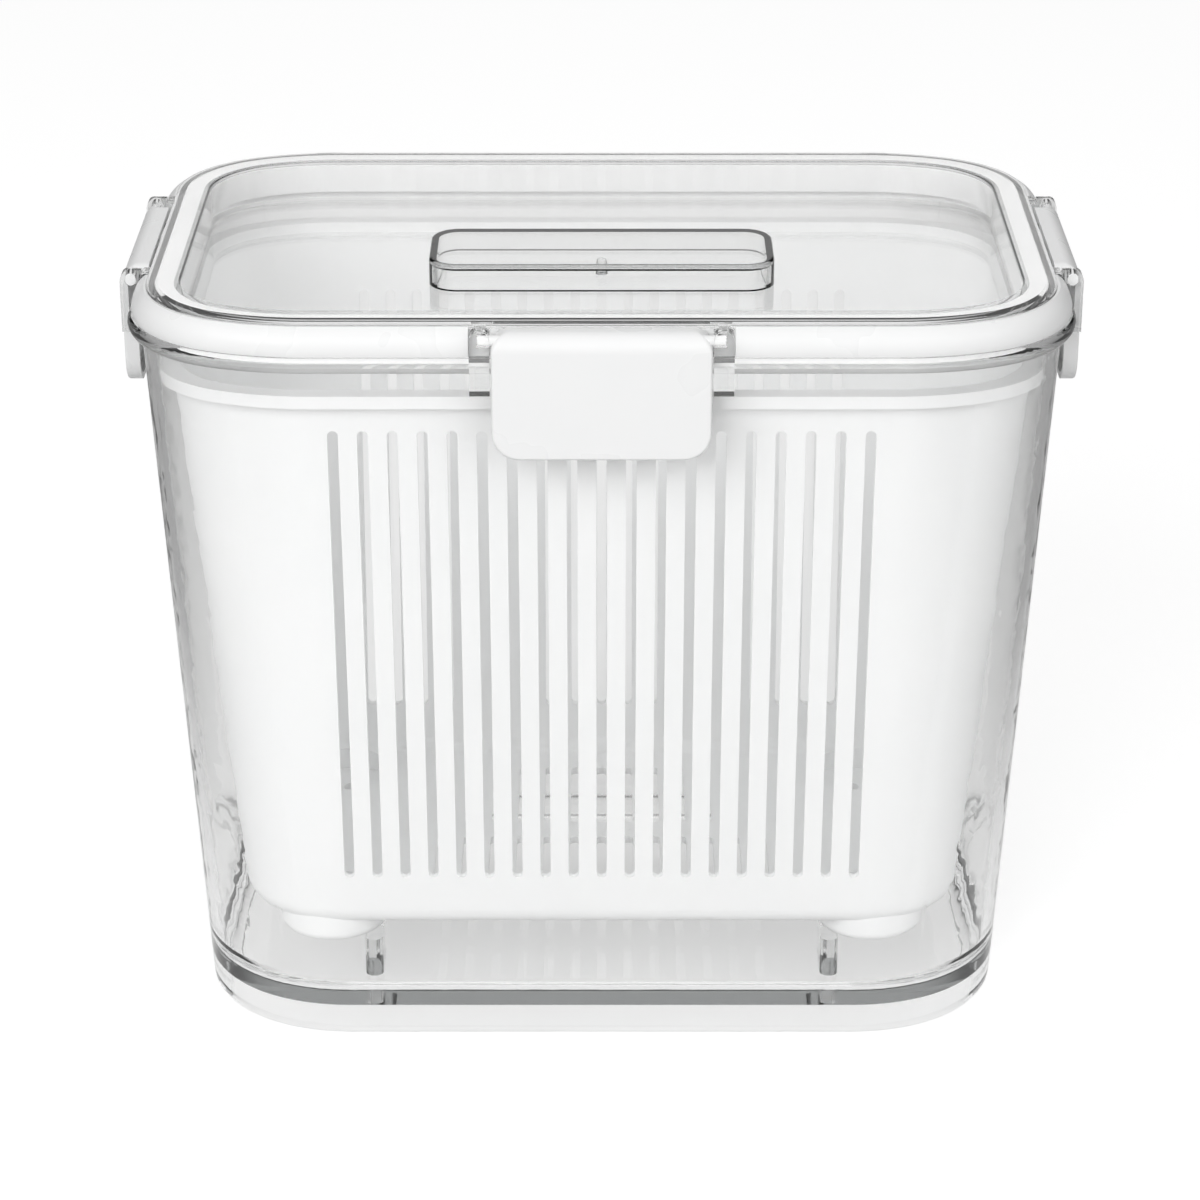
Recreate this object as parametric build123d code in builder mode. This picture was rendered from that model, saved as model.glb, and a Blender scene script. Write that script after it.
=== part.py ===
from build123d import *
import os
from math import cos, radians, sin

# Clear food container with a white drain basket and a clear lid held by three latches.
# Millimetres, +Z up, origin on the table under the centre, the long side along X, front at -Y.
# Drawn about the ring's centre, then moved back by centre_shift, because only the front has a latch.

# Outer edge of the lid's top ring: a rectangle whose corners are two tangent arcs each
ring_half_x = 114.9
ring_half_y = 71.0
ring_long_radius = 60.0
ring_short_radius = 31.3
corner_sweep = 22.0
total_height = 205.5
ring_width = 8.8
ring_slope_width = 3.0
ring_slope_drop = 0.5

# Lid shell
lid_wall = 1.7
lid_edge_radius = 0.6
panel_drop = 11.5
panel_thickness = 1.8
channel_depth = 0.9
skirt_wall = 1.5
shoulder_drop = 7.9
shoulder_thickness = 1.2
bead_reach = 5.1
bead_height = 4.0
bead_round = 0.9
gate_radius = 1.6
gate_height = 2.2
gate_taper = 10.0

# Grip box welded on the middle of the panel
grip_length = 90.0
grip_depth = 31.0
grip_height = 7.2
grip_wall = 2.0
grip_corner_radius = 7.5
grip_edge_radius = 1.0

# White band round the lid between the ring and the bead
band_reach = 3.8
band_bulge = 1.1
band_top_drop = 1.0
band_top_width = 0.6
trim_gap = 0.1

# Silicone gasket under the ring
gasket_gap = 0.1
gasket_height = 7.7
gasket_lip_drop = 1.8
gasket_lip_width = 2.4
gasket_lip_chamfer = 0.8
gasket_pad = 0.9

# Container
wall = 3.0
rim_reach = 1.8
rim_clearance = 0.3
rim_round = 0.8
foot_half_x = 107.5
foot_half_y = 63.6
foot_long_radius = 44.0
foot_short_radius = 38.0
foot_edge_radius = 2.0
floor_underside = 8.0
floor_thickness = 3.0
floor_fillet = 7.0
skirt_inset = 4.0
catch_side_gap = 2.4
catch_reach = 4.6
catch_drop = 8.9
catch_height = 3.5

# Ribs on the container floor that carry the basket's feet
seat_inset_x = 11.0
seat_shift_y = 5.0
seat_width = 4.8
seat_length = 16.0
seat_height = 11.0

# Drain basket
basket_wall = 2.0
basket_drop = 9.8
basket_foot_height = 5.5
basket_gap_top = 3.6
basket_gap_bottom = 9.1
basket_edge_radius = 6.0
basket_rim_clearance = 0.5
basket_rim_thickness = 1.7
basket_lip_height = 3.3
basket_lip_width = 1.6
basket_foot_inset_x = 24.2
basket_foot_inset_y = 15.8
basket_foot_radius = 14.5
basket_foot_edge = 2.5
basket_foot_hole = 2.5
slot_width = 2.7
slot_pitch = 7.45
slot_side_margin = 29.0
slot_bottom_margin = 15.9
slot_top_margin = 10.6
back_slot_drop = 8.7
floor_slot_foot_gap = 11.0
floor_slot_end_margin = 14.3
floor_slot_web = 9.0

# Latches: each hangs from two ears on the lid and hooks under a catch on the container
latch_width = 54.0
latch_drop = 1.1
latch_height = 32.2
latch_reach = 8.0
latch_plate = 2.0
latch_corner_radius = 7.0
latch_edge_radius = 0.7
latch_top_radius = 4.5
latch_top_plate = 1.5
latch_top_inner = 1.0
latch_lip_reach = 4.2
latch_lip_wall = 1.6
latch_lip_height = 20.4
hook_height = 2.7
hook_gap = 0.3
hook_side_inset = 2.0
hook_tip_gap = 0.1
pivot_reach = 5.0
barrel_radius = 2.0
pin_radius = 1.4
pin_length = 3.2
pin_clearance = 0.05
pin_end_gap = 0.2

# Ears that carry the latch pins
ear_gap = 0.3
ear_width = 5.0
ear_drop = 0.3
ear_height = 16.2
ear_reach = 7.6
ear_corner_radius = 2.6
ear_web_gap = 0.1
ear_root_width = 3.0

# Heights and reaches that follow from the sizes above
ring_top = total_height
ring_under = ring_top - lid_wall
panel_top = ring_top - panel_drop
shoulder_top = ring_top - shoulder_drop
shoulder_under = shoulder_top - shoulder_thickness
bead_bottom = shoulder_top - bead_height
skirt_outer = -channel_depth
skirt_inner = skirt_outer - skirt_wall
recess_reach = -ring_width
recess_back = recess_reach + lid_wall
gasket_top = ring_under - gasket_gap
gasket_bottom = gasket_top - gasket_height
rim_top = shoulder_under - gasket_gap - gasket_pad
skirt_reach = rim_reach + rim_clearance
floor_top = floor_underside + floor_thickness
basket_seat = floor_top + seat_height
basket_bottom = basket_seat + basket_foot_height
basket_floor = basket_bottom + basket_wall
basket_top = rim_top - basket_drop
band_web = trim_gap
ear_inner = latch_width / 2 + ear_gap
ear_outer = ear_inner + ear_width
latch_plate_inner = latch_reach - latch_plate
latch_top = ring_top - latch_drop
latch_bottom = latch_top - latch_height
latch_lip_top = latch_bottom + latch_lip_height
pivot_height = latch_top - barrel_radius
ear_top = ring_top - ear_drop
ear_bottom = ear_top - ear_height
centre_shift = (latch_reach - bead_reach) / 2
catch_half_width = latch_width / 2 - latch_lip_wall - catch_side_gap
catch_bottom = rim_top - catch_drop
hook_half_width = catch_half_width - hook_side_inset

ring_plan = (ring_half_x, ring_half_y, ring_long_radius, ring_short_radius)
foot_plan = (foot_half_x, foot_half_y, foot_long_radius, foot_short_radius)


def grown(plan, amount):
    """A plan grown outwards by an amount all round, or shrunk if it is negative."""
    return tuple(size + amount for size in plan)


rim_plan = grown(ring_plan, rim_reach)


def wall_plan(height):
    """The container's outer plan at a height, between its foot and its rim."""
    share = height / rim_top
    return tuple(low + (high - low) * share for low, high in zip(foot_plan, rim_plan))


def basket_plan(height):
    """The basket's outer plan at a height, inside the container's wall by a gap that grows downwards."""
    share = (height - basket_bottom) / (basket_top - basket_bottom)
    gap = basket_gap_bottom + (basket_gap_top - basket_gap_bottom) * share
    return grown(wall_plan(height), -wall - gap)


basket_half_x, basket_half_y, _, _ = basket_plan(basket_bottom)
basket_foot_x = basket_half_x - basket_foot_inset_x
basket_foot_y = basket_half_y - basket_foot_inset_y
seat_x = basket_foot_x - seat_inset_x
seat_y = basket_foot_y + seat_shift_y
slot_bottom = basket_bottom + slot_bottom_margin
slot_top = basket_top - slot_top_margin
back_slot_top = slot_top - back_slot_drop
floor_slot_span = basket_foot_x - basket_foot_radius - floor_slot_foot_gap - slot_width / 2
floor_slot_length = basket_half_y - floor_slot_end_margin - floor_slot_web / 2


def copies(half_span):
    """How many slots fit at the slot pitch in a span, counted evenly from its middle."""
    return 2 * int(half_span / slot_pitch) + 1


def plan_line(plan):
    """Draw a closed plan: four straight sides joined by a long and a short arc at each corner."""
    half_x, half_y, long_radius, short_radius = plan
    turn = radians(corner_sweep)
    step = long_radius - short_radius
    short_centre = (half_x - short_radius, half_y - long_radius + step * cos(turn))
    long_centre = (short_centre[0] - step * sin(turn), half_y - long_radius)
    for sign_x in (-1, 1):
        for sign_y in (-1, 1):
            quarter = {
                "long": (sign_x * long_centre[0], sign_y * long_centre[1]),
                "short": (sign_x * short_centre[0], sign_y * short_centre[1]),
            }
            middles = {"long": turn / 2, "short": (turn + radians(90)) / 2}
            ends = {"long": (0, turn), "short": (turn, radians(90))}
            for name, radius in (("long", long_radius), ("short", short_radius)):
                points = [
                    (
                        quarter[name][0] + sign_x * radius * sin(angle),
                        quarter[name][1] + sign_y * radius * cos(angle),
                    )
                    for angle in (ends[name][0], middles[name], ends[name][1])
                ]
                ThreePointArc(*points)
    for sign in (-1, 1):
        Line((-long_centre[0], sign * half_y), (long_centre[0], sign * half_y))
        Line((sign * half_x, -short_centre[1]), (sign * half_x, short_centre[1]))


def plan_face(plan):
    """Fill a plan inside the current sketch."""
    with BuildLine(mode=Mode.PRIVATE) as outline:
        plan_line(plan)
    make_face(outline.edges())


def stacked(low_plan, low, high_plan, high):
    """A solid between a plan at one height and a plan at another."""
    with BuildPart(mode=Mode.PRIVATE) as block:
        with BuildSketch(Plane.XY.offset(low)):
            plan_face(low_plan)
        with BuildSketch(Plane.XY.offset(high)):
            plan_face(high_plan)
        loft(ruled=True)
    return block


# The sides that have a latch: the way out and the ring's half size that way
sides = {
    "front": (0, -1, ring_half_y),
    "left": (-1, 0, ring_half_x),
    "right": (1, 0, ring_half_x),
}


def section_plane(side):
    """Plane across one side of the lid: x is the reach outside the ring's edge and y the height."""
    out_x, out_y, half = sides[side]
    return Plane(origin=(out_x * half, out_y * half, 0), x_dir=(out_x, out_y, 0), z_dir=(out_y, -out_x, 0))


def face_plane(side, reach):
    """Plane that faces one side of the lid, at a reach outside the ring's edge, with y as the height."""
    out_x, out_y, half = sides[side]
    place = half + reach
    return Plane(origin=(out_x * place, out_y * place, 0), x_dir=(-out_y, out_x, 0), z_dir=(out_x, out_y, 0))


def ring_path():
    """The closed path along the ring's outer edge, for sweeping a section round the lid."""
    with BuildLine(mode=Mode.PRIVATE) as path:
        plan_line(ring_plan)
    return path.wires()[0]


# Container: drafted walls, a raised floor on a foot skirt, catches for the latches, ribs for the basket
foot_block = stacked(foot_plan, 0, wall_plan(rim_top), rim_top)
cavity_block = stacked(grown(wall_plan(floor_top), -wall), floor_top, grown(wall_plan(rim_top), -wall), rim_top)
under_block = stacked(grown(wall_plan(0), -skirt_inset), 0, grown(wall_plan(floor_underside), -skirt_inset),
                      floor_underside)

with BuildPart() as container:
    add(foot_block.part)
    fillet(container.edges().group_by(Axis.Z)[0], foot_edge_radius)
    for out_x, out_y, half in sides.values():
        length = half + catch_reach
        with BuildSketch(Plane.XY.offset(catch_bottom)):
            with Locations((out_x * length / 2, out_y * length / 2)):
                Rectangle(length, 2 * catch_half_width, rotation=90 * out_y)
        extrude(amount=catch_height)
    with BuildPart(mode=Mode.SUBTRACT) as cavity:
        add(cavity_block.part)
        fillet(cavity.edges().group_by(Axis.Z)[0], floor_fillet)
    add(under_block.part, mode=Mode.SUBTRACT)
    with BuildSketch(Plane.XY.offset(floor_top)):
        with Locations(*[(x * seat_x, y * seat_y) for x in (-1, 1) for y in (-1, 1)]):
            SlotOverall(seat_length, seat_width, rotation=90)
    extrude(amount=seat_height)
    fillet(container.faces().sort_by(Axis.Z)[-1].outer_wire().edges(), rim_round)
container.part.label = "container"

# Drain basket: slotted front and back, a rim with a turned-down lip, four cup feet, a slotted floor
outer_block = stacked(basket_plan(basket_bottom), basket_bottom, basket_plan(basket_top), basket_top)
inner_block = stacked(
    grown(basket_plan(basket_floor), -basket_wall), basket_floor, grown(basket_plan(basket_top), -basket_wall), basket_top
)
basket_rim_plan = grown(wall_plan(basket_top - basket_lip_height), -wall - basket_rim_clearance)
feet = [(x * basket_foot_x, y * basket_foot_y) for x in (-1, 1) for y in (-1, 1)]

with BuildPart() as drain_basket:
    with BuildSketch(Plane.XY.offset(basket_seat)):
        with Locations(*feet):
            Circle(basket_foot_radius)
    extrude(amount=basket_foot_height + basket_edge_radius)
    fillet(drain_basket.edges().group_by(Axis.Z)[0], basket_foot_edge)
    with BuildPart() as shell:
        add(outer_block.part)
        fillet(shell.edges().group_by(Axis.Z)[0], basket_edge_radius)
    with BuildSketch(Plane.XY.offset(basket_top - basket_rim_thickness)):
        plan_face(basket_rim_plan)
    extrude(amount=basket_rim_thickness)
    with BuildSketch(Plane.XY.offset(basket_top - basket_lip_height)):
        plan_face(basket_rim_plan)
        with BuildSketch(mode=Mode.SUBTRACT):
            plan_face(grown(basket_rim_plan, -basket_lip_width))
    extrude(amount=basket_lip_height)
    with BuildPart(mode=Mode.SUBTRACT) as hollow:
        add(inner_block.part)
        fillet(hollow.edges().group_by(Axis.Z)[0], basket_edge_radius - basket_wall)
    with BuildSketch(Plane.XY.offset(basket_seat + basket_wall)):
        with Locations(*feet):
            Circle(basket_foot_radius - basket_wall)
    extrude(amount=basket_floor - basket_seat, mode=Mode.SUBTRACT)
    with BuildSketch(Plane.XY.offset(basket_seat)):
        with Locations(*feet):
            Circle(basket_foot_hole)
    extrude(amount=basket_foot_height, mode=Mode.SUBTRACT)
    for top, reach in ((slot_top, ring_half_y), (back_slot_top, -ring_half_y)):
        with BuildSketch(Plane.XZ):
            with Locations((0, (slot_bottom + top) / 2)):
                with GridLocations(slot_pitch, 0, copies(basket_half_x - slot_side_margin), 1):
                    SlotOverall(top - slot_bottom, slot_width, rotation=90)
        extrude(amount=reach, mode=Mode.SUBTRACT)
    with BuildSketch(Plane.XY.offset(basket_bottom)):
        with GridLocations(slot_pitch, floor_slot_length + floor_slot_web, copies(floor_slot_span), 2):
            SlotOverall(floor_slot_length, slot_width, rotation=90)
    extrude(amount=basket_wall, mode=Mode.SUBTRACT)
drain_basket.part.label = "drain_basket"

# Lid shell: recessed panel, ring, skirt with its bead, and two ears with blind pin bores for each latch
with BuildPart() as lid_shell:
    with BuildSketch(section_plane("front")):
        with BuildLine():
            top_inner = (recess_reach + lid_edge_radius, ring_top)
            Polyline(
                (recess_reach, ring_top - lid_edge_radius),
                (recess_reach, panel_top - panel_thickness),
                (recess_back, panel_top - panel_thickness),
                (recess_back, ring_under),
                (skirt_inner, ring_under),
                (skirt_inner, shoulder_under),
                (skirt_reach, shoulder_under),
                (skirt_reach, bead_bottom),
                (bead_reach - bead_round, bead_bottom),
            )
            ThreePointArc(
                (bead_reach - bead_round, bead_bottom),
                (bead_reach, (shoulder_top + bead_bottom) / 2),
                (bead_reach - bead_round, shoulder_top),
            )
            Polyline(
                (bead_reach - bead_round, shoulder_top),
                (skirt_outer, shoulder_top),
                (skirt_outer, ring_under),
                (0, ring_under),
                (0, ring_top - ring_slope_drop),
                (-ring_slope_width, ring_top),
                top_inner,
            )
            RadiusArc(top_inner, (recess_reach, ring_top - lid_edge_radius), lid_edge_radius)
        make_face()
    sweep(path=ring_path())
    with BuildSketch(Plane.XY.offset(panel_top - panel_thickness)):
        plan_face(grown(ring_plan, recess_reach + lid_wall / 2))
    extrude(amount=panel_thickness)
    with BuildSketch(Plane.XY.offset(panel_top)):
        Circle(gate_radius)
    extrude(amount=gate_height, taper=gate_taper)
    for side in sides:
        for sign in (-1, 1):
            middle = sign * (ear_inner + ear_width / 2)
            with BuildSketch(face_plane(side, skirt_reach + ear_web_gap)):
                with Locations((middle, (ear_top + ear_bottom) / 2)):
                    arch = Rectangle(ear_width, ear_top - ear_bottom)
                fillet(arch.vertices().group_by(Axis.Y)[-1], ear_width / 2 - trim_gap)
            extrude(amount=ear_reach - skirt_reach - ear_web_gap)
            with BuildSketch(face_plane(side, band_web + trim_gap)):
                with Locations((middle, (ring_under + shoulder_top) / 2)):
                    Rectangle(ear_width, ring_under - shoulder_top)
            extrude(amount=skirt_reach)
            with BuildSketch(face_plane(side, -channel_depth / 2)):
                with Locations((middle, (ring_under + ring_top - ring_slope_drop) / 2)):
                    Rectangle(ear_root_width, ring_top - ring_slope_drop - ring_under)
            extrude(amount=skirt_reach)
        with BuildSketch(section_plane(side)):
            corner = (ear_reach - ear_corner_radius, ear_top - ear_corner_radius)
            with Locations(corner):
                Rectangle(ear_corner_radius, ear_corner_radius, align=Align.MIN)
                Circle(ear_corner_radius, mode=Mode.SUBTRACT)
        extrude(amount=ear_outer, both=True, mode=Mode.SUBTRACT)
        for sign in (-1, 1):
            bore_depth = pin_length - ear_gap + pin_end_gap
            bore_plane = section_plane(side).offset(sign * ear_inner)
            with BuildSketch(bore_plane):
                with Locations((pivot_reach, pivot_height)):
                    Circle(pin_radius + pin_clearance)
            extrude(amount=sign * bore_depth, mode=Mode.SUBTRACT)
lid_shell.part.label = "lid_shell"

# Grip: a clear box, open below, that stands on the panel
with BuildPart() as lid_grip:
    with BuildSketch(Plane.XY.offset(panel_top)):
        RectangleRounded(grip_length, grip_depth, grip_corner_radius)
    extrude(amount=grip_height)
    fillet(lid_grip.edges().group_by(Axis.Z)[-1], grip_edge_radius)
    with BuildSketch(Plane.XY.offset(panel_top)):
        RectangleRounded(grip_length - 2 * grip_wall, grip_depth - 2 * grip_wall, grip_corner_radius - grip_wall)
    extrude(amount=grip_height - grip_wall, mode=Mode.SUBTRACT)
lid_grip.part.label = "lid_grip"

# White band: fills the channel round the lid and thins to a web behind the latches and ears
with BuildPart() as lid_band:
    with BuildSketch(section_plane("front")):
        band_start = (trim_gap + band_top_width, ring_top - band_top_drop)
        band_end = (band_reach, shoulder_top + trim_gap / 2)
        middle_x = (band_start[0] + band_end[0]) / 2 + band_bulge
        middle_z = (band_start[1] + band_end[1]) / 2 + band_bulge * band_reach / (ring_top - shoulder_top)
        with BuildLine():
            Polyline(
                band_end,
                (skirt_outer + trim_gap / 2, shoulder_top + trim_gap / 2),
                (skirt_outer + trim_gap / 2, ring_under - trim_gap / 2),
                (trim_gap, ring_under - trim_gap / 2),
                (trim_gap, ring_top - band_top_drop),
                band_start,
            )
            ThreePointArc(band_start, (middle_x, middle_z), band_end)
        make_face()
    sweep(path=ring_path())
    for side in sides:
        with BuildSketch(face_plane(side, band_web)):
            with Locations((0, (ring_top + shoulder_top) / 2)):
                Rectangle(2 * (ear_outer + ear_gap), 2 * (ring_top - shoulder_top))
        extrude(amount=latch_reach, mode=Mode.SUBTRACT)
lid_band.part.label = "lid_band"

# Gasket: fills the cavity behind the ring, with a pad on the container's rim and a lip inside it
with BuildPart() as seal_gasket:
    gasket_inner = recess_back + gasket_gap
    lip_reach = rim_reach - wall - rim_clearance
    lip_bottom = rim_top - gasket_lip_drop
    with BuildSketch(section_plane("front")):
        with BuildLine():
            Polyline(
                (gasket_inner, gasket_top),
                (skirt_inner - gasket_gap, gasket_top),
                (skirt_inner - gasket_gap, rim_top + gasket_pad),
                (skirt_reach - gasket_gap, rim_top + gasket_pad),
                (skirt_reach - gasket_gap, rim_top),
                (lip_reach, rim_top),
                (lip_reach, lip_bottom + gasket_lip_chamfer),
                (lip_reach - gasket_lip_chamfer, lip_bottom),
                (lip_reach - gasket_lip_width, lip_bottom),
                (lip_reach - gasket_lip_width, gasket_bottom),
                (gasket_inner, gasket_bottom),
                close=True,
            )
        make_face()
    sweep(path=ring_path())
seal_gasket.part.label = "seal_gasket"


def make_latch(side):
    """One latch: front plate with a lip, top plate, barrel with two pins, and the hook."""
    with BuildPart() as body:
        with BuildSketch(face_plane(side, latch_plate_inner)):
            with Locations((0, (latch_top + latch_bottom) / 2)):
                outline = Rectangle(latch_width, latch_top - latch_bottom)
            fillet(outline.vertices().group_by(Axis.Y)[0], latch_corner_radius)
        extrude(amount=latch_plate)
        with BuildSketch(face_plane(side, latch_lip_reach)):
            with Locations((0, (latch_lip_top + latch_bottom) / 2)):
                lip = Rectangle(latch_width, latch_lip_top - latch_bottom)
            fillet(lip.vertices().group_by(Axis.Y)[0], latch_corner_radius)
            with BuildSketch(mode=Mode.SUBTRACT):
                with Locations((0, (latch_lip_top + latch_bottom) / 2 + latch_lip_wall)):
                    inner = Rectangle(latch_width - 2 * latch_lip_wall, latch_lip_top - latch_bottom)
                fillet(inner.vertices().group_by(Axis.Y)[0], latch_corner_radius - latch_lip_wall)
        extrude(amount=latch_plate_inner - latch_lip_reach)
        with BuildSketch(section_plane(side)):
            with Locations(((latch_top_inner + latch_plate_inner) / 2, latch_top - latch_top_plate / 2)):
                Rectangle(latch_plate_inner - latch_top_inner, latch_top_plate)
            with Locations((pivot_reach, pivot_height)):
                Circle(barrel_radius)
        extrude(amount=latch_width / 2, both=True)
        with BuildSketch(section_plane(side)):
            hook_inner = catch_reach + hook_tip_gap
            with Locations(((hook_inner + latch_plate_inner) / 2, catch_bottom - hook_gap - hook_height / 2)):
                Rectangle(latch_plate_inner - hook_inner, hook_height)
        extrude(amount=hook_half_width, both=True)
        out_x, out_y, _ = sides[side]
        outwards = Axis((0, 0, 0), (out_x, out_y, 0))
        rim = body.faces().sort_by(outwards)[-1].outer_wire().edges().sort_by(Axis.Z)
        fillet(rim[:-1], latch_edge_radius)
        top = body.faces().sort_by(outwards)[-1].outer_wire().edges().sort_by(Axis.Z)[-1]
        fillet(top, latch_top_radius)
        with BuildSketch(section_plane(side)):
            with Locations((pivot_reach, pivot_height)):
                Circle(pin_radius)
        extrude(amount=latch_width / 2 + pin_length, both=True)
    return body


latches = {side: make_latch(side) for side in sides}
for side, latch in latches.items():
    latch.part.label = f"latch_{side}"

os.makedirs("parts", exist_ok=True)
for piece in (container, drain_basket, lid_shell, lid_grip, lid_band, seal_gasket, *latches.values()):
    placed = piece.part.moved(Location((0, centre_shift, 0)))
    placed.label = piece.part.label
    export_step(placed, f"parts/{placed.label}.step")
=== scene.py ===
import math

import bpy
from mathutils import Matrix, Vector

bl_info = {
    "name": "Airtight container with drain basket",
    "version": (1, 0, 0),
    "blender": (4, 5, 0),
    "location": "View3D > Sidebar > Container",
    "description": "Looks of a clear food container with a white drain basket and a latched lid",
    "category": "Object",
}

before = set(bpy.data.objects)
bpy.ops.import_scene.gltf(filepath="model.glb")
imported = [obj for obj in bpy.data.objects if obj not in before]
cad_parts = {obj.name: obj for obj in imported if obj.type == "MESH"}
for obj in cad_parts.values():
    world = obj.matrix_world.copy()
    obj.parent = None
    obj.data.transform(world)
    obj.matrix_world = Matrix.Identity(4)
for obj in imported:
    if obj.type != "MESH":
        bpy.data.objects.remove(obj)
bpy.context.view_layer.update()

# Which CAD nodes share a finish
CLEAR_NODES = ("container", "lid_shell", "lid_grip")
WHITE_NODES = ("lid_band", "latch_front", "latch_left", "latch_right")
BASKET_NODES = ("drain_basket",)
GASKET_NODES = ("seal_gasket",)

# Refraction of the plastics, and the share of light that the basket's thin wall lets through
CLEAR_IOR = 1.5
WHITE_IOR = 1.49
BASKET_GLOW = 0.16

# The clear plastic: its flow waves, how far its tint drifts, what it takes from a lamp's light at
# each surface, and the colour that its depth leaves of light that runs along a wall
CLEAR_WAVES = 45.0
CLEAR_DRIFT = (0.015, 0.015, 0.012)
CLEAR_SHADOW = (0.99, 0.99, 0.99, 1.0)
CLEAR_DEPTH_COLOUR = (0.0, 0.03, 0.03, 1.0)

# The floor: its colour, the glow that lifts it to white in the picture, and its glow for light
# that is gathered through the clear plastic
FLOOR_COLOUR = (0.5, 0.5, 0.5, 1.0)
FLOOR_LIFT = 0.66
FLOOR_GATHERED = 0.6

# The share of the lift that shows in gloss and through clear plastic, from the distance to the
# side where it starts to fade to the distance where it is gone
FLOOR_FADE_FROM = 0.09
FLOOR_FADE_TO = 0.3
FLOOR_FADE_SHARE = 0.75

# The surroundings: their plain level, and what light gathered through the clear plastic adds to it
WORLD_PLAIN = 0.58
WORLD_GATHERED = 1.15

# How dark they are at the sides and overhead, by the part of a ray's direction that points there
SIDE_FROM = 0.15
SIDE_TO = 0.5
SIDE_LEVEL = 0.05
TOP_FROM = 0.6
TOP_TO = 0.95
TOP_LEVEL = 0.6

# Each lamp's place and size in metres and its power in watts, and the point that all face
KEY_LAMP = ((-0.85, -1.5, 1.15), (1.4, 1.0), 22.0)
FILL_LAMP = ((1.0, -1.5, 0.95), (1.4, 1.2), 11.0)
TOP_LAMP = ((0.0, -0.1, 1.6), (1.4, 1.2), 1.5)
LAMP_AIM = (0.0, 0.0, 0.1)

# The camera's sensor in millimetres, its nearest distance, and its small offsets to the side
SENSOR_WIDTH = 36.0
NEAR_CLIP = 0.01
CAMERA_SIDE = -0.0002
CAMERA_SHIFT = -0.00075

# Light that crosses four clear walls and back needs this many bounces
BOUNCES = {
    "max_bounces": 24,
    "diffuse_bounces": 12,
    "glossy_bounces": 14,
    "transmission_bounces": 20,
    "transparent_max_bounces": 24,
}


def add_node(tree, kind, at, inputs=None, **settings):
    """Add a node at a place in a tree, with its properties and its input values."""
    node = tree.nodes.new(kind)
    node.location = at
    for name, value in settings.items():
        setattr(node, name, value)
    for name, value in (inputs or {}).items():
        node.inputs[name].default_value = value
    return node


def add_fade(tree, at, start, end, before, after):
    """Add a smooth step from one level to another between two bounds."""
    return add_node(
        tree,
        "ShaderNodeMapRange",
        at,
        {"From Min": start, "From Max": end, "To Min": before, "To Max": after},
        interpolation_type="SMOOTHSTEP",
    )


def new_material(name):
    """An empty node material, its tree and its output node."""
    material = bpy.data.materials.new(name)
    material.use_nodes = True
    material.node_tree.nodes.clear()
    output = add_node(material.node_tree, "ShaderNodeOutputMaterial", (900, 0))
    return material, material.node_tree, output


def moulded_group():
    """The surface of a moulding: slow flow waves and a fine grain, as roughness, tone and normal."""
    name = "moulded_surface"
    if name in bpy.data.node_groups:
        return bpy.data.node_groups[name]
    tree = bpy.data.node_groups.new(name, "ShaderNodeTree")
    for label, value in (
        ("Wave Scale", 40.0),
        ("Wave Height", 0.00001),
        ("Grain Scale", 1500.0),
        ("Grain Height", 0.000002),
        ("Roughness Low", 0.2),
        ("Roughness High", 0.3),
    ):
        socket = tree.interface.new_socket(label, in_out="INPUT", socket_type="NodeSocketFloat")
        socket.default_value = value
    tree.interface.new_socket("Tone", in_out="OUTPUT", socket_type="NodeSocketFloat")
    tree.interface.new_socket("Roughness", in_out="OUTPUT", socket_type="NodeSocketFloat")
    tree.interface.new_socket("Normal", in_out="OUTPUT", socket_type="NodeSocketVector")
    values = add_node(tree, "NodeGroupInput", (-700, 0))
    result = add_node(tree, "NodeGroupOutput", (700, 0))
    place = add_node(tree, "ShaderNodeTexCoord", (-700, -300))
    wave = add_node(tree, "ShaderNodeTexNoise", (-400, 150), {"Detail": 2.0, "Roughness": 0.4})
    grain = add_node(tree, "ShaderNodeTexNoise", (-400, -200), {"Detail": 3.0, "Roughness": 0.6})
    rough = add_node(tree, "ShaderNodeMapRange", (-100, 250), {"From Min": 0.3, "From Max": 0.7})
    wave_bump = add_node(tree, "ShaderNodeBump", (-100, -50))
    grain_bump = add_node(tree, "ShaderNodeBump", (200, -200))
    link = tree.links.new
    link(place.outputs["Object"], wave.inputs["Vector"])
    link(place.outputs["Object"], grain.inputs["Vector"])
    link(values.outputs["Wave Scale"], wave.inputs["Scale"])
    link(values.outputs["Grain Scale"], grain.inputs["Scale"])
    link(values.outputs["Roughness Low"], rough.inputs["To Min"])
    link(values.outputs["Roughness High"], rough.inputs["To Max"])
    link(wave.outputs["Fac"], rough.inputs["Value"])
    link(wave.outputs["Fac"], wave_bump.inputs["Height"])
    link(values.outputs["Wave Height"], wave_bump.inputs["Distance"])
    link(grain.outputs["Fac"], grain_bump.inputs["Height"])
    link(values.outputs["Grain Height"], grain_bump.inputs["Distance"])
    link(wave_bump.outputs["Normal"], grain_bump.inputs["Normal"])
    link(wave.outputs["Fac"], result.inputs["Tone"])
    link(rough.outputs["Result"], result.inputs["Roughness"])
    link(grain_bump.outputs["Normal"], result.inputs["Normal"])
    return tree


def add_surface(tree, at, **values):
    """The moulded surface in a material, with its values by socket name."""
    surface = add_node(tree, "ShaderNodeGroup", at, node_tree=moulded_group())
    for name, value in values.items():
        surface.inputs[name.replace("_", " ").title()].default_value = value
    return surface


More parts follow.
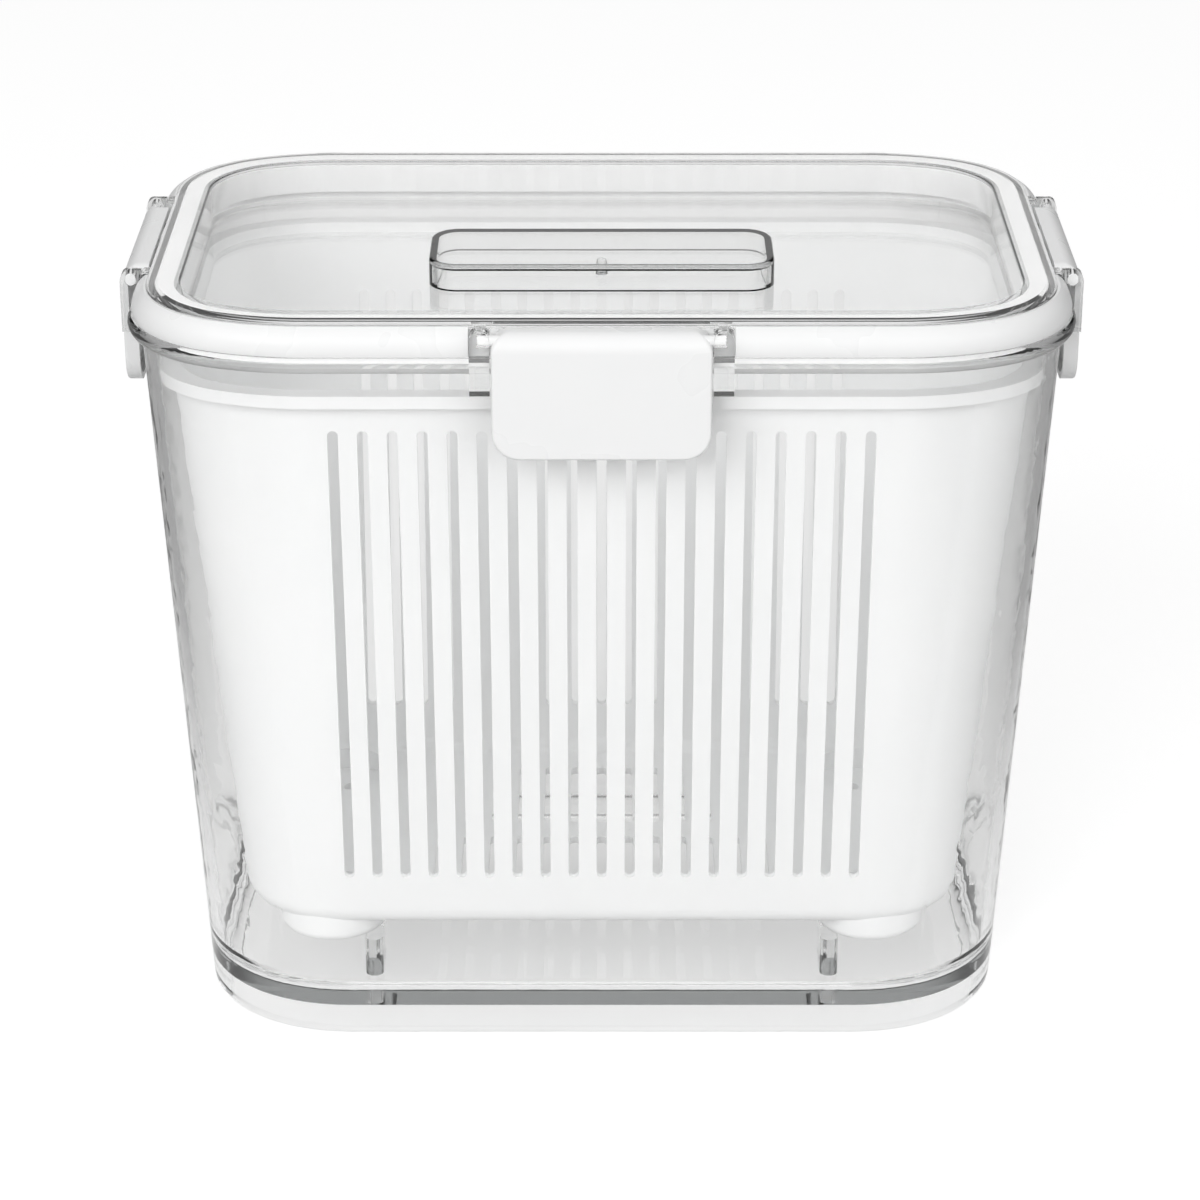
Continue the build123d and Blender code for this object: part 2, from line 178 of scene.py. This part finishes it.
def add_tone(tree, surface, low, high):
    """A colour that drifts between two near tones with the moulding's flow."""
    tone = add_node(tree, "ShaderNodeMix", (200, 200), data_type="RGBA")
    tone.inputs["A"].default_value = (*low, 1.0)
    tone.inputs["B"].default_value = (*high, 1.0)
    tree.links.new(surface.outputs["Tone"], tone.inputs["Factor"])
    return tone


def clear_material(look):
    """Clear polished plastic: lamps shine through it, and long ways inside it turn grey."""
    material, tree, output = new_material("clear_plastic")
    surface = add_surface(
        tree,
        (-100, 0),
        wave_scale=CLEAR_WAVES,
        roughness_low=0.0,
        roughness_high=look.clear_roughness,
    )
    low = [look.clear_tint] * 3
    high = [look.clear_tint + drift for drift in CLEAR_DRIFT]
    tone = add_tone(tree, surface, low, high)
    glass = add_node(
        tree,
        "ShaderNodeBsdfPrincipled",
        (450, 0),
        {"Metallic": 0.0, "IOR": CLEAR_IOR, "Transmission Weight": 1.0},
    )
    clear = add_node(tree, "ShaderNodeBsdfTransparent", (450, -400), {"Color": CLEAR_SHADOW})
    path = add_node(tree, "ShaderNodeLightPath", (450, 400))
    mix = add_node(tree, "ShaderNodeMixShader", (720, 0))
    depth = add_node(
        tree,
        "ShaderNodeVolumeAbsorption",
        (720, -300),
        {"Color": CLEAR_DEPTH_COLOUR, "Density": look.clear_depth},
    )
    link = tree.links.new
    link(tone.outputs["Result"], glass.inputs["Base Color"])
    link(surface.outputs["Roughness"], glass.inputs["Roughness"])
    link(path.outputs["Is Shadow Ray"], mix.inputs["Fac"])
    link(glass.outputs["BSDF"], mix.inputs[1])
    link(clear.outputs["BSDF"], mix.inputs[2])
    link(mix.outputs["Shader"], output.inputs["Surface"])
    link(depth.outputs["Volume"], output.inputs["Volume"])
    return material


def opaque_material(name, low, high, glow=0.0, **values):
    """A white moulding by its tones and surface values; glow is the share of light let through."""
    material, tree, output = new_material(name)
    surface = add_surface(tree, (-100, 0), **values)
    tone = add_tone(tree, surface, low, high)
    shader = add_node(tree, "ShaderNodeBsdfPrincipled", (450, 0), {"Metallic": 0.0, "IOR": WHITE_IOR})
    link = tree.links.new
    link(tone.outputs["Result"], shader.inputs["Base Color"])
    link(surface.outputs["Roughness"], shader.inputs["Roughness"])
    link(surface.outputs["Normal"], shader.inputs["Normal"])
    if glow:
        through = add_node(tree, "ShaderNodeBsdfTranslucent", (450, -500))
        mix = add_node(tree, "ShaderNodeMixShader", (720, 0), {"Fac": glow})
        link(tone.outputs["Result"], through.inputs["Color"])
        link(shader.outputs["BSDF"], mix.inputs[1])
        link(through.outputs["BSDF"], mix.inputs[2])
        link(mix.outputs["Shader"], output.inputs["Surface"])
    else:
        link(shader.outputs["BSDF"], output.inputs["Surface"])
    return material


def paint(names, material):
    """Give CAD nodes a material."""
    for name in names:
        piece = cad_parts[name]
        piece.data.materials.clear()
        piece.data.materials.append(material)


def tone_property(name, description, default):
    """A colour that a user can change."""
    return bpy.props.FloatVectorProperty(
        name=name,
        description=description,
        default=default,
        size=3,
        min=0.0,
        max=1.0,
        subtype="COLOR",
    )


class ContainerLookSettings(bpy.types.PropertyGroup):
    """Colours of the white pieces, whose tones are set apart partly by painted light, and the polish,
    tint and depth of the clear ones.
    """

    clear_roughness: bpy.props.FloatProperty(
        name="Clear roughness",
        description="Roughness of the clear plastic where its surface is dullest",
        default=0.02,
        min=0.0,
        max=1.0,
        subtype="FACTOR",
    )
    clear_tint: bpy.props.FloatProperty(
        name="Clear tint",
        description="Share of light that each clear surface lets through",
        default=0.98,
        min=0.0,
        max=0.98,
        subtype="FACTOR",
    )
    clear_depth: bpy.props.FloatProperty(
        name="Clear depth",
        description="How strongly a metre of the clear plastic greys light that runs along a wall",
        default=8.0,
        min=0.0,
    )
    # Latches and band: white, with tones held darker than the basket's as painted shade, so that full
    # lamp light in the open doesn't burn them out
    white_low: tone_property("White, low", "Darker tone of latches and band", (0.8, 0.805, 0.805))
    white_high: tone_property("White, high", "Lighter tone of latches and band", (0.825, 0.825, 0.825))
    # Basket: white, with tones lifted above the latches' as painted light, to make up for the light
    # that the clear walls around it take
    basket_low: tone_property("Basket, low", "Darker tone of the basket", (0.95, 0.955, 0.955))
    basket_high: tone_property("Basket, high", "Lighter tone of the basket", (0.97, 0.97, 0.97))
    # Gasket: white, with tones lifted as painted light, to make up for the shade of its cavity behind
    # the clear ring
    gasket_low: tone_property("Gasket, low", "Darker tone of the gasket", (0.93, 0.93, 0.93))
    gasket_high: tone_property("Gasket, high", "Lighter tone of the gasket", (0.955, 0.955, 0.955))


class ContainerStageSettings(bpy.types.PropertyGroup):
    """The camera and the floor."""

    camera_distance: bpy.props.FloatProperty(
        name="Camera distance",
        description="How far in front of the container's centre the camera stands",
        default=0.89905,
        unit="LENGTH",
        subtype="DISTANCE",
    )
    camera_height: bpy.props.FloatProperty(
        name="Camera height",
        description="Height of the camera over the table",
        default=0.5016,
        unit="LENGTH",
        subtype="DISTANCE",
    )
    camera_pitch: bpy.props.FloatProperty(
        name="Camera pitch",
        description="How far the camera looks down",
        default=math.radians(24.06),
        unit="ROTATION",
        subtype="ANGLE",
    )
    camera_lens: bpy.props.FloatProperty(
        name="Camera lens",
        description="Focal length in millimetres on a 36 mm sensor",
        default=108.03,
        min=1.0,
    )
    floor_size: bpy.props.FloatProperty(
        name="Floor size",
        description="Side of the square floor",
        default=12.0,
        unit="LENGTH",
        subtype="DISTANCE",
    )


class CONTAINER_OT_clear(bpy.types.Operator):
    """Paint the container, the lid shell and the grip as clear plastic"""

    bl_idname = "container.clear"
    bl_label = "Clear mouldings"

    def execute(self, context):
        paint(CLEAR_NODES, clear_material(context.scene.container_look))
        return {"FINISHED"}


class CONTAINER_OT_white(bpy.types.Operator):
    """Paint the latches and the lid band as glossy white plastic"""

    bl_idname = "container.white"
    bl_label = "White trim and latches"

    def execute(self, context):
        look = context.scene.container_look
        # White tones held darker as painted shade against the full lamp light in the open
        material = opaque_material(
            "white_plastic",
            look.white_low,
            look.white_high,
            wave_scale=60.0,
            wave_height=0.00001,
            grain_scale=2200.0,
            grain_height=0.000002,
            roughness_low=0.25,
            roughness_high=0.36,
        )
        paint(WHITE_NODES, material)
        return {"FINISHED"}


class CONTAINER_OT_basket(bpy.types.Operator):
    """Paint the drain basket as satin white plastic"""

    bl_idname = "container.basket"
    bl_label = "Drain basket"

    def execute(self, context):
        look = context.scene.container_look
        # White tones lifted as painted light, for the light that the clear walls around the basket
        # take
        material = opaque_material(
            "basket_plastic",
            look.basket_low,
            look.basket_high,
            glow=BASKET_GLOW,
            wave_scale=30.0,
            wave_height=0.00002,
            grain_scale=1600.0,
            grain_height=0.000006,
            roughness_low=0.4,
            roughness_high=0.52,
        )
        paint(BASKET_NODES, material)
        return {"FINISHED"}


class CONTAINER_OT_gasket(bpy.types.Operator):
    """Paint the gasket under the lid's ring as white silicone"""

    bl_idname = "container.gasket"
    bl_label = "Silicone gasket"

    def execute(self, context):
        look = context.scene.container_look
        # White tones lifted as painted light against the shade of the cavity behind the clear ring
        material = opaque_material(
            "white_silicone",
            look.gasket_low,
            look.gasket_high,
            wave_scale=80.0,
            wave_height=0.00002,
            grain_scale=1200.0,
            grain_height=0.000005,
            roughness_low=0.5,
            roughness_high=0.62,
        )
        paint(GASKET_NODES, material)
        return {"FINISHED"}


def ray_masks(tree, at):
    """Two masks: rays that show in the picture, and light gathered through the clear plastic."""
    left, low = at
    path = add_node(tree, "ShaderNodeLightPath", at)
    glossy = add_node(tree, "ShaderNodeMath", (left + 200, low), operation="MAXIMUM")
    through = add_node(tree, "ShaderNodeMath", (left + 400, low), operation="MAXIMUM")
    bounced = add_node(tree, "ShaderNodeMath", (left + 200, low - 200), operation="MINIMUM")
    direct = add_node(tree, "ShaderNodeMath", (left + 400, low - 200), operation="SUBTRACT")
    shown = add_node(tree, "ShaderNodeMath", (left + 600, low), operation="MULTIPLY")
    gathered = add_node(tree, "ShaderNodeMath", (left + 600, low - 200), operation="MULTIPLY")
    bounced.inputs[1].default_value = 1.0
    direct.inputs[0].default_value = 1.0
    link = tree.links.new
    link(path.outputs["Is Camera Ray"], glossy.inputs[0])
    link(path.outputs["Is Glossy Ray"], glossy.inputs[1])
    link(glossy.outputs["Value"], through.inputs[0])
    link(path.outputs["Is Transmission Ray"], through.inputs[1])
    link(path.outputs["Diffuse Depth"], bounced.inputs[0])
    link(bounced.outputs["Value"], direct.inputs[1])
    link(through.outputs["Value"], shown.inputs[0])
    link(direct.outputs["Value"], shown.inputs[1])
    link(path.outputs["Is Transmission Ray"], gathered.inputs[0])
    link(bounced.outputs["Value"], gathered.inputs[1])
    return shown, gathered


def floor_material():
    """Floor that takes the shadow, with a glow that lifts it to the white of the background."""
    material, tree, output = new_material("floor_white")
    diffuse = add_node(tree, "ShaderNodeBsdfDiffuse", (200, 0), {"Color": FLOOR_COLOUR})
    lift = add_node(tree, "ShaderNodeEmission", (200, -200), {"Color": (1.0, 1.0, 1.0, 1.0)})
    total = add_node(tree, "ShaderNodeAddShader", (600, 0))
    shown, gathered = ray_masks(tree, (-900, -200))
    path = add_node(tree, "ShaderNodeLightPath", (-900, -600))
    place = add_node(tree, "ShaderNodeTexCoord", (-900, -900))
    split = add_node(tree, "ShaderNodeSeparateXYZ", (-700, -900))
    side = add_node(tree, "ShaderNodeMath", (-500, -900), operation="ABSOLUTE")
    fade = add_fade(tree, (-300, -900), FLOOR_FADE_FROM, FLOOR_FADE_TO, FLOOR_FADE_SHARE, 0.0)
    near = add_node(tree, "ShaderNodeMath", (-100, -600), operation="MAXIMUM")
    part = add_node(tree, "ShaderNodeMath", (0, -400), operation="MULTIPLY")
    scale = add_node(tree, "ShaderNodeMath", (100, -200), operation="MULTIPLY_ADD")
    soft = add_node(tree, "ShaderNodeMath", (-100, -200), operation="MULTIPLY")
    scale.inputs[1].default_value = FLOOR_LIFT
    soft.inputs[1].default_value = FLOOR_GATHERED
    link = tree.links.new
    link(place.outputs["Object"], split.inputs["Vector"])
    link(split.outputs["X"], side.inputs[0])
    link(side.outputs["Value"], fade.inputs["Value"])
    link(path.outputs["Is Camera Ray"], near.inputs[0])
    link(fade.outputs["Result"], near.inputs[1])
    link(shown.outputs["Value"], part.inputs[0])
    link(near.outputs["Value"], part.inputs[1])
    link(gathered.outputs["Value"], soft.inputs[0])
    link(part.outputs["Value"], scale.inputs[0])
    link(soft.outputs["Value"], scale.inputs[2])
    link(scale.outputs["Value"], lift.inputs["Strength"])
    link(diffuse.outputs["BSDF"], total.inputs[0])
    link(lift.outputs["Emission"], total.inputs[1])
    link(total.outputs["Shader"], output.inputs["Surface"])
    return material


def build_world():
    """Surroundings that are white in front and behind, and darker at the sides and overhead.

    The dark parts draw the edges of the clear plastic. They show only in the picture's own rays:
    other rays find the plain level, and light gathered through the clear plastic finds more.
    """
    world = bpy.data.worlds.new("studio")
    world.use_nodes = True
    tree = world.node_tree
    tree.nodes.clear()
    output = add_node(tree, "ShaderNodeOutputWorld", (900, 0))
    place = add_node(tree, "ShaderNodeTexCoord", (-900, 0))
    split = add_node(tree, "ShaderNodeSeparateXYZ", (-700, 0))
    side = add_node(tree, "ShaderNodeMath", (-500, 100), operation="ABSOLUTE")
    side_fade = add_fade(tree, (-300, 100), SIDE_FROM, SIDE_TO, 1.0, SIDE_LEVEL)
    top_fade = add_fade(tree, (-300, -200), TOP_FROM, TOP_TO, 1.0, TOP_LEVEL)
    shade = add_node(tree, "ShaderNodeMath", (0, 0), operation="MULTIPLY")
    shown, gathered = ray_masks(tree, (-700, -500))
    bright = add_node(tree, "ShaderNodeMath", (450, -300), operation="MULTIPLY_ADD")
    bright.inputs[1].default_value = WORLD_GATHERED
    strength = add_node(tree, "ShaderNodeMix", (300, -200), {"A": WORLD_PLAIN})
    background = add_node(tree, "ShaderNodeBackground", (600, 0))
    link = tree.links.new
    link(place.outputs["Generated"], split.inputs["Vector"])
    link(split.outputs["X"], side.inputs[0])
    link(side.outputs["Value"], side_fade.inputs["Value"])
    link(split.outputs["Z"], top_fade.inputs["Value"])
    link(side_fade.outputs["Result"], shade.inputs[0])
    link(top_fade.outputs["Result"], shade.inputs[1])
    link(shown.outputs["Value"], strength.inputs["Factor"])
    link(shade.outputs["Value"], strength.inputs["B"])
    link(gathered.outputs["Value"], bright.inputs[0])
    link(strength.outputs["Result"], bright.inputs[2])
    link(bright.outputs["Value"], background.inputs["Strength"])
    link(background.outputs["Background"], output.inputs["Surface"])
    return world


def add_floor(size):
    """A square floor at the height of the table."""
    half = size / 2
    mesh = bpy.data.meshes.new("floor")
    corners = [(-half, -half, 0.0), (half, -half, 0.0), (half, half, 0.0), (-half, half, 0.0)]
    mesh.from_pydata(corners, [], [(0, 1, 2, 3)])
    mesh.materials.append(floor_material())
    floor = bpy.data.objects.new("floor", mesh)
    bpy.context.scene.collection.objects.link(floor)
    return floor


def add_lamp(name, place, size, power):
    """A soft rectangular lamp that lights the scene but shows in no reflection."""
    data = bpy.data.lights.new(name, "AREA")
    data.shape = "RECTANGLE"
    data.size, data.size_y = size
    data.energy = power
    lamp = bpy.data.objects.new(name, data)
    bpy.context.scene.collection.objects.link(lamp)
    lamp.location = place
    lamp.rotation_euler = (Vector(LAMP_AIM) - Vector(place)).to_track_quat("-Z", "Y").to_euler()
    lamp.visible_glossy = False
    lamp.visible_transmission = False
    lamp.visible_camera = False
    return lamp


def add_camera(settings):
    """The scene's camera, in front of the container and looking down on it."""
    data = bpy.data.cameras.new("camera")
    data.lens = settings.camera_lens
    data.sensor_width = SENSOR_WIDTH
    data.shift_x = CAMERA_SHIFT
    data.clip_start = NEAR_CLIP
    camera = bpy.data.objects.new("camera", data)
    bpy.context.scene.collection.objects.link(camera)
    camera.location = (CAMERA_SIDE, -settings.camera_distance, settings.camera_height)
    camera.rotation_euler = (math.radians(90) - settings.camera_pitch, 0.0, 0.0)
    bpy.context.scene.camera = camera
    return camera


class CONTAINER_OT_stage(bpy.types.Operator):
    """Set up the white floor, the soft lamps, the surroundings and the camera"""

    bl_idname = "container.stage"
    bl_label = "Stage"

    def execute(self, context):
        scene = context.scene
        settings = scene.container_stage
        floor = add_floor(settings.floor_size)
        key = add_lamp("key_lamp", *KEY_LAMP)
        fill = add_lamp("fill_lamp", *FILL_LAMP)
        top = add_lamp("top_lamp", *TOP_LAMP)
        camera = add_camera(settings)
        scene.world = build_world()
        scene.view_settings.view_transform = "Standard"
        for name, count in BOUNCES.items():
            setattr(scene.cycles, name, count)
        return {"FINISHED"}


class CONTAINER_PT_panel(bpy.types.Panel):
    """Lists the container's settings and operators"""

    bl_label = "Container"
    bl_idname = "CONTAINER_PT_panel"
    bl_space_type = "VIEW_3D"
    bl_region_type = "UI"
    bl_category = "Container"

    def draw(self, context):
        for settings in (context.scene.container_look, context.scene.container_stage):
            for name in settings.bl_rna.properties.keys():
                if name not in {"rna_type", "name"}:
                    self.layout.prop(settings, name)
        for operator in OPERATORS:
            self.layout.operator(operator.bl_idname)


OPERATORS = (
    CONTAINER_OT_clear,
    CONTAINER_OT_white,
    CONTAINER_OT_basket,
    CONTAINER_OT_gasket,
    CONTAINER_OT_stage,
)
CLASSES = (ContainerLookSettings, ContainerStageSettings, *OPERATORS, CONTAINER_PT_panel)


def register():
    """Add the settings, the operators and the panel."""
    for item in CLASSES:
        bpy.utils.register_class(item)
    bpy.types.Scene.container_look = bpy.props.PointerProperty(type=ContainerLookSettings)
    bpy.types.Scene.container_stage = bpy.props.PointerProperty(type=ContainerStageSettings)


def unregister():
    """Take them away again."""
    del bpy.types.Scene.container_stage
    del bpy.types.Scene.container_look
    for item in reversed(CLASSES):
        bpy.utils.unregister_class(item)


def main():
    """Build the looks and the stage."""
    register()
    bpy.ops.container.clear()
    bpy.ops.container.white()
    bpy.ops.container.basket()
    bpy.ops.container.gasket()
    bpy.ops.container.stage()


if __name__ == "__main__":
    main()
